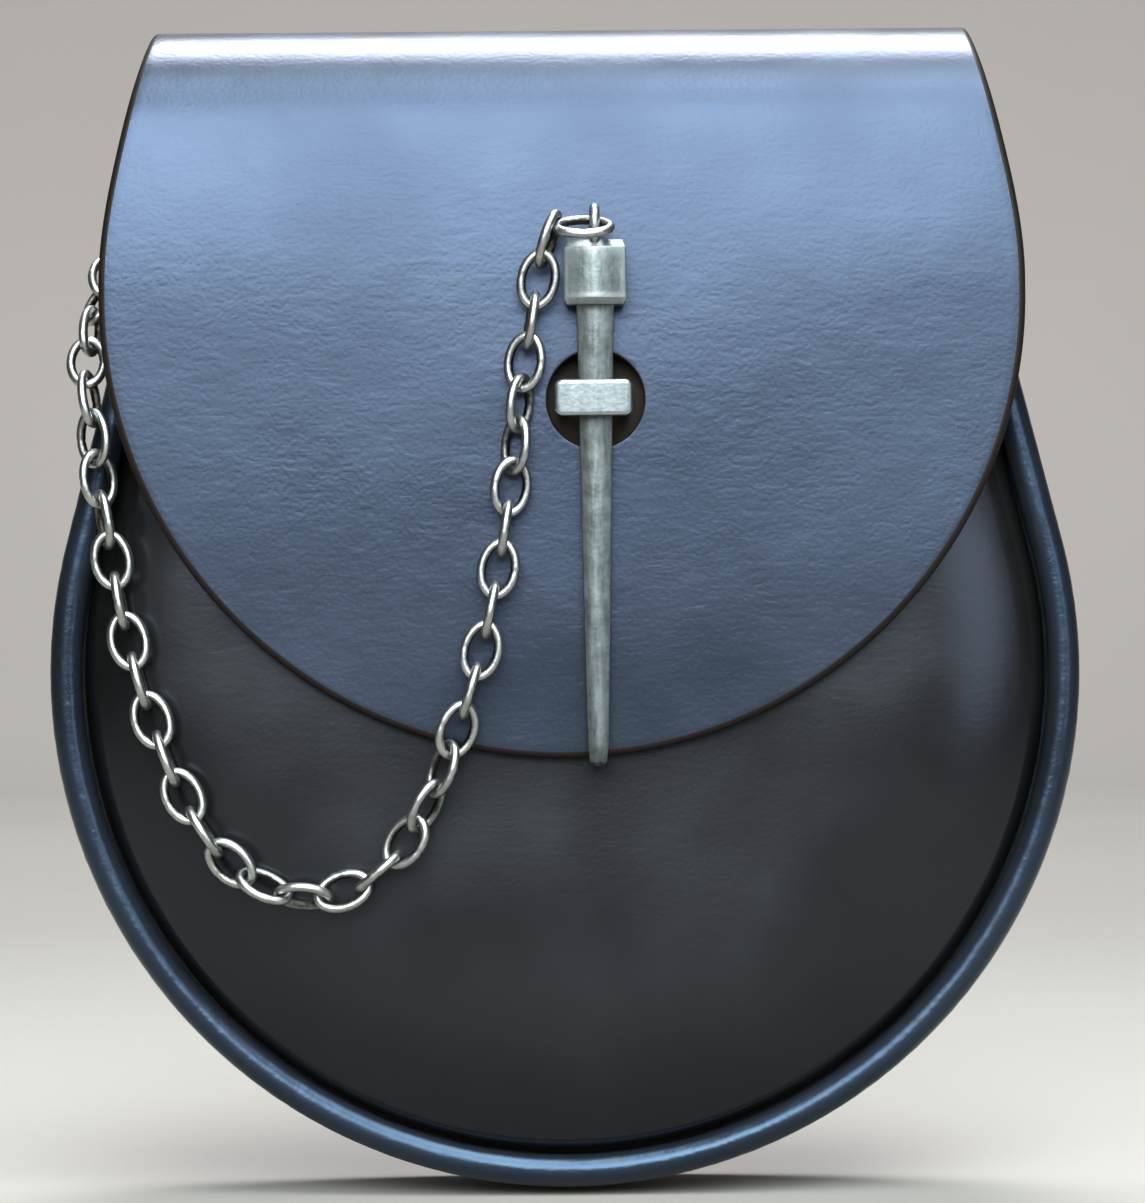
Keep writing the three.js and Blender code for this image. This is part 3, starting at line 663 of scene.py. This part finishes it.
EDGE_INSET = 4.5
SEAM_SIDE_LENGTH = 80.0
SEAM_ROUND_STEPS, SEAM_SIDE_STEPS = 600, 200
LOOP_ROW_INSETS = (2.6, 6.2)
LOOP_ROW_START, LOOP_ROW_END = 4.0, 3.5
seam_turn = np.linspace(-math.pi / 2 - back_lean, math.pi / 2 + back_lean, SEAM_ROUND_STEPS)
edge_out = np.stack([np.sin(seam_turn), -np.cos(seam_turn)], axis=-1)
back_edge = BACK_RADIUS * edge_out
rise = np.linspace(0, SEAM_SIDE_LENGTH, SEAM_SIDE_STEPS)[1:, None]
right_up = np.array([[-math.sin(back_lean), math.cos(back_lean)]])
left_up = right_up * np.array([[-1, 1]])
seam_line = np.concatenate([
    (back_edge[0] + rise * left_up)[::-1], back_edge, back_edge[-1] + rise * right_up])
seam_out = np.concatenate([
    np.repeat(edge_out[:1], len(rise), 0), edge_out, np.repeat(edge_out[-1:], len(rise), 0)])
seam_line = seam_line - EDGE_INSET * seam_out
walked = np.concatenate([[0], np.cumsum(np.linalg.norm(np.diff(seam_line, axis=0), axis=1))])
stops = np.arange(STITCH_PITCH, walked[-1], STITCH_PITCH)
stitch_x, stitch_z = (np.interp(stops, walked, seam_line[:, i]) for i in (0, 1))
way_x, way_z = (np.interp(stops, walked, np.gradient(seam_line[:, i], walked)) for i in (0, 1))
rear = np.array([0.0, 1.0, 0.0])
stitch_row("back_seam_stitches", place(stitch_x, 0, stitch_z), np.stack([way_x, 0 * way_x, way_z], -1),
           np.tile(rear, (len(stops), 1)), "flap_leather")

loop_stops = np.arange(LOOP_ROW_START - LOOP_WIDTH / 2, LOOP_WIDTH / 2 - LOOP_ROW_END, STITCH_PITCH)
loop_rows = np.array([
    (x, side * (LOOP_ENDS - inset)) for side in (-1, 1) for inset in LOOP_ROW_INSETS for x in loop_stops])
sideways = np.array([1.0, 0.0, 0.0])
stitch_row("belt_loop_stitches", place(loop_rows[:, 0], -GAP - LOOP_THICK, BELT_HEIGHT + loop_rows[:, 1]),
           np.tile(sideways, (len(loop_rows), 1)), np.tile(rear, (len(loop_rows), 1)), "body_leather")

# %% [markdown]
# Pin and staple are cast in a grey white metal and tumbled, so edges are worn bright, flats keep a dull
# grey skin with fine pits, and hollows have gone dark. How worn a spot is, from 0 in a hollow to 1 on an
# edge, is stored on the mesh when it's made, and the material reads it and breaks it up with spots and fine
# streaks. On the chain's links the same number also holds painted shade on their inner sides. A metal's
# gloss needs no IOR of its own.

# %% Worn metal
def worn_metal(name, dark, dull, bright, dull_rough, bright_rough, pit_mm):
    material, tree, surface, where = start_material(name)
    wear = layer(tree, "Attribute", attribute_name="wear").outputs["Fac"]
    spots = layer(tree, "TexNoise", {"Vector": where, "Scale": per_mm(2.4), "Detail": 5.0, "Roughness": 0.65})
    drawn = layer(tree, "Mapping", {"Vector": where, "Scale": (1.0, 1.0, 0.12)})
    streaks = layer(tree, "TexNoise", {"Vector": drawn.outputs[0], "Scale": per_mm(0.9), "Detail": 3.0})
    spotted = layer(tree, "Math", {0: spots.outputs[0], 1: 0.45, 2: wear}, operation="MULTIPLY_ADD")
    rubbed = layer(tree, "Math", {0: streaks.outputs[0], 1: 0.4, 2: spotted.outputs[0]},
                   operation="MULTIPLY_ADD")
    mask = layer(tree, "MapRange", {"Value": rubbed.outputs[0], "From Min": 0.325, "From Max": 1.325})
    tint = layer(tree, "ValToRGB", {"Fac": mask.outputs[0]})
    tint.color_ramp.elements[0].color = linear(dark)
    tint.color_ramp.elements[1].color = linear(bright)
    tint.color_ramp.elements.new(0.35).color = linear(dull)
    shine = layer(tree, "MapRange", {"Value": mask.outputs[0], "To Min": dull_rough, "To Max": bright_rough})
    pits = layer(tree, "TexNoise", {"Vector": where, "Scale": per_mm(pit_mm), "Detail": 4.0})
    rough = layer(tree, "Bump", {"Height": pits.outputs[0], "Strength": 0.5, "Distance": 0.09 * MM})
    tree.links.new(tint.outputs["Color"], surface.inputs["Base Color"])
    tree.links.new(shine.outputs[0], surface.inputs["Roughness"])
    tree.links.new(rough.outputs[0], surface.inputs["Normal"])
    surface.inputs["Metallic"].default_value = 1.0
    return material


CAST_METAL = worn_metal("tumbled_cast_white_metal", "#3d403f", "#757b7a", "#aeb2b3", 0.5, 0.34, 0.9)
CHAIN_METAL = worn_metal("dulled_steel_wire", "#2b2824", "#7b7a75", "#cccecc", 0.42, 0.27, 0.6)
FILED_METAL = worn_metal("filed_cast_white_metal", "#5e6263", "#73797a", "#b8bcbd", 0.42, 0.3, 0.9)
print("metals:", CAST_METAL.name, CHAIN_METAL.name, FILED_METAL.name)

# %% [markdown]
# The pin is a tapered spike with a block for a head. It's flat at the back, where it lies on the flap, and
# two facets meet in a ridge at the front. Each side of its five-sided section is split into short steps, so
# the wear can fade from the corners to the middle of a facet, where the head is darkest.

# %% Pin
PIN_BACK = 47.9
PIN_TOP = 78.4
PIN_SIDE_PART = 0.82
SIDE_STEPS = 10
PIN_STEP = 1.0
RIDGE_WEAR = 0.2
PIN_SECTIONS = [
    # below the top, width, depth, how round the ridge is, wear on the flats, wear on the edges
    (0.0, 10.2, 6.4, 0.5, 0.35, 0.6),
    (1.4, 11.2, 8.2, 0.5, 0.3, 0.75),
    (2.8, 11.2, 8.2, 0.5, 0.08, 0.75),
    (6.0, 11.2, 8.2, 0.5, 0.0, 0.7),
    (9.4, 11.2, 8.2, 0.5, 0.08, 0.75),
    (10.6, 11.2, 8.2, 0.5, 0.5, 0.9),
    (11.8, 10.4, 7.2, 0.5, 0.4, 0.7),
    (11.8, 6.8, 5.0, 1.2, 0.1, 0.3),
    (16.0, 6.6, 4.9, 1.2, 0.04, 0.1),
    (70.0, 4.7, 3.5, 1.2, 0.02, 0.08),
    (91.5, 3.8, 2.95, 1.2, 0.02, 0.06),
    # The last rows make the tip darker than the rest of the shank.
    (94.6, 3.1, 2.3, 1.2, -0.02, 0.04),
    (95.4, 1.8, 1.5, 1.2, -0.06, 0.0),
]


def loft_faces(count, sides, start=0):
    ids = start + np.arange(count * sides).reshape(count, sides)
    walls = [list(face) for a, b in zip(ids[:-1], ids[1:]) for face in ring_quads(a, b)]
    return walls + [list(ids[0]), list(ids[-1])]


def pin_ring(below, width, depth, roundness):
    half, side = width / 2, depth * PIN_SIDE_PART
    corners = np.array([(-half, 0), (half, 0), (half, side), (0, depth), (-half, side)])
    steps = np.linspace(0, 1, SIDE_STEPS, endpoint=False)[:, None]
    ring = np.concatenate([a + steps * (b - a) for a, b in zip(corners, np.roll(corners, -1, 0))])
    fall = np.hypot(ring[:, 0] / half, roundness) - roundness
    rounded = depth - (depth - side) * fall / (math.hypot(1, roundness) - roundness)
    ring[:, 1] = np.where(ring[:, 1] > side, rounded, ring[:, 1])
    return place(LOCK_X + ring[:, 0], PIN_BACK + ring[:, 1], PIN_TOP - below)


to_corner = np.tile(np.abs(np.linspace(-1, 1, SIDE_STEPS, endpoint=False)) ** 4, 5)
to_corner[SIDE_STEPS * 5 // 2:SIDE_STEPS * 7 // 2] *= RIDGE_WEAR
rings, pin_wear = [], []
for row, after in zip(PIN_SECTIONS, PIN_SECTIONS[1:] + PIN_SECTIONS[-1:]):
    count = max(int((after[0] - row[0]) / PIN_STEP), 2) if after != row else 1
    for step in range(count):
        *shape, flat, edge = np.array(row) + step / count * (np.array(after) - np.array(row))
        rings.append(pin_ring(*shape))
        pin_wear.append(flat + to_corner * (edge - flat))
pin_sides = len(rings[0])
pin_faces = loft_faces(len(rings), pin_sides)
pin = new_piece("pin_casting", np.concatenate(rings), pin_faces, [0] * len(pin_faces), [CAST_METAL],
                "cast_metal", "pin", wear=np.concatenate(pin_wear))
round_edges(pin, 0.55, 3, 16)

# %% [markdown]
# On top of the head is the eye that the chain hangs from: an arch of wire, seen edge-on from the front.
# It's a tube along a bent line. The side directions of each ring come from the line's own bend, so it
# doesn't twist.

# %% Wire bent in a plane
WIRE_SIDES = 16


def bent_wire(name, line, plane_normal, radius_mm, material, wear, cad_slot, *nodes):
    ahead = np.gradient(line, axis=0)
    ahead /= np.linalg.norm(ahead, axis=1)[:, None]
    normal = np.tile(np.asarray(plane_normal, float), (len(line), 1))
    radius = np.full((len(line), WIRE_SIDES), radius_mm * MM)
    return tube_piece(name, line, np.cross(normal, ahead), normal, radius, material, cad_slot, *nodes,
                      wear=wear)


PIN_EYE_DEPTH = 52.0
PIN_EYE_HALF = 2.3
PIN_EYE_RISE = 3.5
PIN_EYE_SUNK = 1.5
PIN_EYE_WIRE = 0.95
arch_turn = np.linspace(0, math.pi, 25)
arch_depth = np.concatenate([[PIN_EYE_HALF], PIN_EYE_HALF * np.cos(arch_turn), [-PIN_EYE_HALF]])
arch_height = np.concatenate([
    [-PIN_EYE_SUNK], PIN_EYE_RISE + PIN_EYE_HALF * np.sin(arch_turn), [-PIN_EYE_SUNK]])
arch = place(LOCK_X, PIN_EYE_DEPTH + arch_depth, PIN_TOP + arch_height)
pin_eye = bent_wire("pin_eye", arch, (1, 0, 0), PIN_EYE_WIRE, CAST_METAL, 0.6, "cast_metal")

# %% [markdown]
# The staple has a stout bar in front of the pin and two legs that go through the hole to the front panel.
# The bar is a block with all its corners filed round, so its section shrinks along a quarter circle at each
# end.

# %% Staple
STAPLE_X = 5.6
BAR_DEPTH = 54.6
BAR_HALF = (7.0, 1.25, 3.3)
BAR_FILED = 1.5
LEG_X = 5.75
LEG_HALF = (1.15, 2.5)
LEG_ENDS = (38.0, 54.6)
FILED_EDGE = 0.7
FILED_STEPS = 64
FLAT_PART = 0.2
FLAT_WEAR, CORNER_WEAR, END_WEAR, LEG_WEAR = 0.02, 0.8, 0.4, 0.1
END_SHRINK = (0.5, 1.2)


def filed_block(half_a, half_b, edge):
    ring, worn = [], []
    for turn in np.linspace(0, 2 * math.pi, FILED_STEPS, endpoint=False):
        quarter = round((turn - math.pi / 4) / (math.pi / 2))
        part = (turn - quarter * math.pi / 2) / (math.pi / 2)
        bend = np.clip((part - FLAT_PART) / (1 - 2 * FLAT_PART), 0, 1)
        corner = (quarter + bend) * math.pi / 2
        sign_a = 1 if quarter % 4 in (0, 3) else -1
        sign_b = 1 if quarter % 4 in (0, 1) else -1
        a = sign_a * (half_a - edge) + edge * math.cos(corner)
        b = sign_b * (half_b - edge) + edge * math.sin(corner)
        if bend in (0, 1):
            flat = (FLAT_PART - min(part, 1 - part)) / FLAT_PART
            a, b = (a, b * (1 - flat)) if abs(math.cos(corner)) > 0.5 else (a * (1 - flat), b)
        ring.append((a, b))
        worn.append(FLAT_WEAR + CORNER_WEAR * math.sin(bend * math.pi))
    return np.array(ring), worn


bar_places = np.array([0, 2.5, 4.5, 5.5, 5.8, 6.1, 6.4, 6.65, 6.85, 6.96, 7.0])
bar_places = np.concatenate([-bar_places[:0:-1], bar_places])
staple_points, staple_faces, staple_wear = [], [], []
for x in bar_places:
    filed = 1 - math.sqrt(1 - np.clip((abs(x) - BAR_HALF[0] + BAR_FILED) / BAR_FILED, 0, 1) ** 2)
    half_depth, half_height = (BAR_HALF[i + 1] - END_SHRINK[i] * filed for i in (0, 1))
    ring, worn = filed_block(half_depth, half_height, FILED_EDGE)
    staple_points.append(place(STAPLE_X + x, BAR_DEPTH + ring[:, 0], LOCK_HEIGHT + ring[:, 1]))
    staple_wear += [min(w + END_WEAR * filed, 1) for w in worn]
staple_faces += loft_faces(len(bar_places), len(ring))
for side in (-1, 1):
    ring, worn = filed_block(*LEG_HALF, FILED_EDGE)
    staple_faces += loft_faces(len(LEG_ENDS), len(ring), len(ring) * len(staple_points))
    for depth in LEG_ENDS:
        staple_points.append(place(STAPLE_X + side * LEG_X + ring[:, 0], depth, LOCK_HEIGHT + ring[:, 1]))
        staple_wear += [LEG_WEAR] * len(ring)
staple = new_piece("staple_casting", np.concatenate(staple_points), staple_faces, [0] * len(staple_faces),
                   [FILED_METAL], "cast_metal", "staple", wear=staple_wear)

# %% [markdown]
# The chain is of oval wire links, each a node of its own in the CAD model. One link is modelled once and
# shared by all. Where a link lies is read from its CAD node: its three longest directions are the oval's
# length, its width and its face. Links hang alternately face-on and edge-on, and turn a little on the way.
# A real link is bent from wire and has a closed joint on one side, which shows as a shallow nick.

# %% Chain
LINK_WIRE = 0.85
LINK_STEPS, LINK_SIDES = 56, 16
NICK_DEPTH, NICK_WIDTH = 0.12, 0.3
WIRE_WEAR, INNER_PAINTED_SHADE, JOINT_RUB = 0.5, 0.75, 0.2


def link_frame(node):
    points = np.array([v.co for v in node.data.vertices])
    axes = np.linalg.svd(points - points.mean(0), full_matrices=False)[2]
    if np.linalg.det(axes) < 0:
        axes[2] *= -1
    spread = points @ axes.T
    return axes.T @ (spread.min(0) + spread.max(0)) / 2, axes, np.ptp(spread, axis=0)


link_names = sorted(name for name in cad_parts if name.startswith("chain_link_"))
link_size = np.mean([link_frame(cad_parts[name])[2] for name in link_names], axis=0) / MM
print(len(link_names), "links of", np.round(link_size[:2], 2), "mm")


def link_mesh(name, long, wide):
    points, worn = [], []
    for step in np.linspace(0, 2 * math.pi, LINK_STEPS, endpoint=False):
        centre = np.array([long * math.cos(step), wide * math.sin(step), 0])
        out = np.array([wide * math.cos(step), long * math.sin(step), 0])
        out /= np.linalg.norm(out)
        nick = 1 - NICK_DEPTH * math.exp(-((step - math.pi / 2) * long / NICK_WIDTH) ** 2)
        for side in np.linspace(0, 2 * math.pi, LINK_SIDES, endpoint=False):
            around = out * math.cos(side) + np.array([0, 0, math.sin(side)])
            points.append((centre + LINK_WIRE * nick * around) * MM)
            # The inner side of each link is darker along its long sides, which is painted shade between the
            # links; at the ends it's rubbed bright, which is wear.
            inner = max(-math.cos(side), 0)
            rub_and_painted_shade = JOINT_RUB * abs(math.cos(step)) ** 4 - INNER_PAINTED_SHADE * abs(math.sin(step))
            worn.append(WIRE_WEAR + inner * rub_and_painted_shade)
    ids = np.arange(len(points)).reshape(LINK_STEPS, LINK_SIDES)
    faces = [[int(i) for i in face] for a, b in zip(ids, np.roll(ids, -1, 0)) for face in ring_quads(a, b)]
    mesh = bpy.data.meshes.new(name)
    mesh.from_pydata([list(p) for p in points], [], faces)
    mesh.materials.append(CHAIN_METAL)
    mesh.polygons.foreach_set("use_smooth", np.ones(len(faces), bool))
    mesh.attributes.new("wear", "FLOAT", "POINT").data.foreach_set("value", np.asarray(worn, np.float32))
    return mesh


CAD_WIRE = 0.775
oval = link_mesh("oval_wire_link", link_size[0] / 2 - CAD_WIRE, link_size[1] / 2 - CAD_WIRE)
for number, name in enumerate(link_names):
    centre, axes, size = link_frame(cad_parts[name])
    piece = bpy.data.objects.new(name.replace("chain_link", "wire_link"), oval)
    bpy.context.scene.collection.objects.link(piece)
    turned = axes * (np.array([[-1], [-1], [1]]) if number % 3 else 1)
    piece.matrix_world = Matrix.Translation(centre) @ Matrix(turned.T.tolist()).to_4x4()
    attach(piece, "root")
    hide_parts(name)
print("chain link faces", len(oval.polygons))

# %% [markdown]
# The chain ends on a small eye at the pouch's left side, behind the flap's edge. It's hidden in the
# photograph, so it's plain: a ring, a short stem and a round foot on the gusset.

# %% Eye on the side
SIDE_EYE_X, SIDE_EYE_DEPTH, SIDE_EYE_HEIGHT = -81.2, 19.5, 75.2
SIDE_EYE_RADIUS, SIDE_EYE_WIRE = 3.6, 1.0
RING_ENDS = np.radians([4, 356])
RING_STEPS = 60
FOOT_SIDES = 28
AXIS_RADIUS = 0.05
ring_turn = np.linspace(*RING_ENDS, RING_STEPS)
ring_line = place(SIDE_EYE_X + SIDE_EYE_RADIUS * np.cos(ring_turn),
                  SIDE_EYE_DEPTH + SIDE_EYE_RADIUS * np.sin(ring_turn), SIDE_EYE_HEIGHT)
bent_wire("side_eye_ring", ring_line, (0, 0, 1), SIDE_EYE_WIRE, CHAIN_METAL, 0.4, "chain_metal", "chain_eye")

wall_x = -float(body_half(GUSSET_RADIUS - GUSSET_BOW, np.array(SIDE_EYE_HEIGHT)))
foot_profile = [
    # above the wall, radius
    (0.5, 0.0),
    (0.5, 4.2),
    (0.75, 4.5),
    (1.3, 4.5),
    (1.9, 3.9),
    (2.2, 2.2),
    (2.6, 1.7),
    (4.6, 1.6),
    (4.9, 1.2),
    (4.9, 0.0),
]
lean = np.array([-math.cos(SIDE_LEAN), 0.0, math.sin(SIDE_LEAN)])
upward = np.cross(lean, rear)
foot_points = []
for along, radius in foot_profile:
    for a in np.linspace(0, 2 * math.pi, FOOT_SIDES, endpoint=False):
        spot = lean * along + max(radius, AXIS_RADIUS) * (math.cos(a) * rear + math.sin(a) * upward)
        foot_points.append(place(wall_x, SIDE_EYE_DEPTH, SIDE_EYE_HEIGHT) + spot * MM)
foot_faces = loft_faces(len(foot_profile), FOOT_SIDES)
new_piece("side_eye_foot", foot_points, foot_faces, [0] * len(foot_faces), [CHAIN_METAL], "chain_metal",
          wear=0.3)

# %% [markdown]
# The studio is a round cove: a pale floor that curves up into a pale wall on all sides, so that every view
# has the same plain background. The material is matt paint with a faint mottle.

# %% Floor and wall
FLOOR_HEIGHT = -0.1585
COVE_RADIUS, COVE_BEND, COVE_TOP = 2.6, 0.7, 2.4
COVE_STEPS, BEND_STEPS = 96, 20
FLOOR_RINGS = [0.02, 0.5, 1.2]


def matt_paint(name):
    material, tree, surface, where = start_material(name)
    mottle = layer(tree, "TexNoise", {"Vector": where, "Scale": 3.0, "Detail": 2.0})
    tint = layer(tree, "Mix", {"Factor": mottle.outputs[0], "A": linear("#78736c"), "B": linear("#7e7972")},
                 data_type="RGBA")
    tree.links.new(tint.outputs["Result"], surface.inputs["Base Color"])
    surface.inputs["Roughness"].default_value = 0.9
    return material


cove_turn = np.linspace(0, math.pi / 2, BEND_STEPS)
cove_r = np.concatenate([FLOOR_RINGS, COVE_RADIUS - COVE_BEND * (1 - np.sin(cove_turn)), [COVE_RADIUS]])
cove_z = FLOOR_HEIGHT + np.concatenate([
    np.zeros(len(FLOOR_RINGS)), COVE_BEND * (1 - np.cos(cove_turn)), [COVE_TOP]])
around = np.linspace(0, 2 * math.pi, COVE_STEPS, endpoint=False)
cove_points = np.stack([np.outer(cove_r, np.cos(around)), np.outer(cove_r, np.sin(around)),
                        np.repeat(cove_z, COVE_STEPS).reshape(-1, COVE_STEPS)], axis=-1).reshape(-1, 3)
cove_ids = np.arange(len(cove_points)).reshape(-1, COVE_STEPS)
cove_faces = [list(map(int, f)) for a, b in zip(cove_ids[:-1], cove_ids[1:]) for f in ring_quads(b, a)]
cove_faces.append([int(i) for i in cove_ids[0]])
cove_mesh = bpy.data.meshes.new("cove")
cove_mesh.from_pydata(cove_points.tolist(), [], cove_faces)
cove_mesh.materials.append(matt_paint("matt_pale_paint"))
cove_mesh.polygons.foreach_set("use_smooth", np.ones(len(cove_faces), bool))
cove = bpy.data.objects.new("cove", cove_mesh)
bpy.context.scene.collection.objects.link(cove)
print("cove", COVE_RADIUS, "m in radius")

# %% [markdown]
# Black leather shows hardly any colour of its own: what is seen is the light that it mirrors. The lamps are
# nearly white, as the metal shows, and the blue is set in the gloss of the waxed dye; how strong it is differs
# between flap, piping and body as painted light. Two broad softboxes high in front light the flap from its
# shoulder down, a narrow one on the right gives the panel a soft glow, a strip above and behind draws the
# bright line along the fold, and a low lamp fills in the shadows.

# %% Lights
def softbox(name, place_m, aim_m, size, power_w, tint, spread):
    lamp = bpy.data.lights.new(name, "AREA")
    lamp.shape = "RECTANGLE"
    lamp.size, lamp.size_y = size
    lamp.energy = power_w
    lamp.color = linear(tint)[:3]
    lamp.spread = math.radians(spread)
    holder = bpy.data.objects.new(name, lamp)
    bpy.context.scene.collection.objects.link(holder)
    holder.location = place_m
    holder.rotation_euler = (Vector(aim_m) - Vector(place_m)).to_track_quat("-Z", "Y").to_euler()
    print(name, power_w, "W")


softbox("front_softbox", (-0.08, -1.6, 0.75), (0, 0, 0.0), (1.5, 1.25), 15.0, "#eefaff", 60)
softbox("upper_softbox", (0.3, -0.8, 1.5), (0, 0, 0.0), (1.5, 1.5), 15.5, "#eefaff", 60)
softbox("side_softbox", (1.05, -1.6, 0.3), (0, 0, 0.0), (0.6, 1.1), 1.5, "#dfeeff", 70)
softbox("fold_strip", (0.05, 0.46, 1.12), (0, 0, 0.05), (0.6, 0.8), 3.6, "#f4f8ff", 50)
softbox("wall_light", (0.0, 0.9, 1.9), (0, 2.3, 0.1), (1.6, 0.6), 70.0, "#f6f8ff", 140)
softbox("low_fill", (-0.4, -2.1, 0.1), (0, 0, 0.0), (2.6, 1.0), 3.1, "#fff6ea", 150)

world = bpy.data.worlds.new("studio_air")
world.use_nodes = True
world.node_tree.nodes["Background"].inputs["Color"].default_value = linear("#dfe6ee")
world.node_tree.nodes["Background"].inputs["Strength"].default_value = 0.2
bpy.context.scene.world = world
bpy.context.scene.view_settings.view_transform = "Standard"
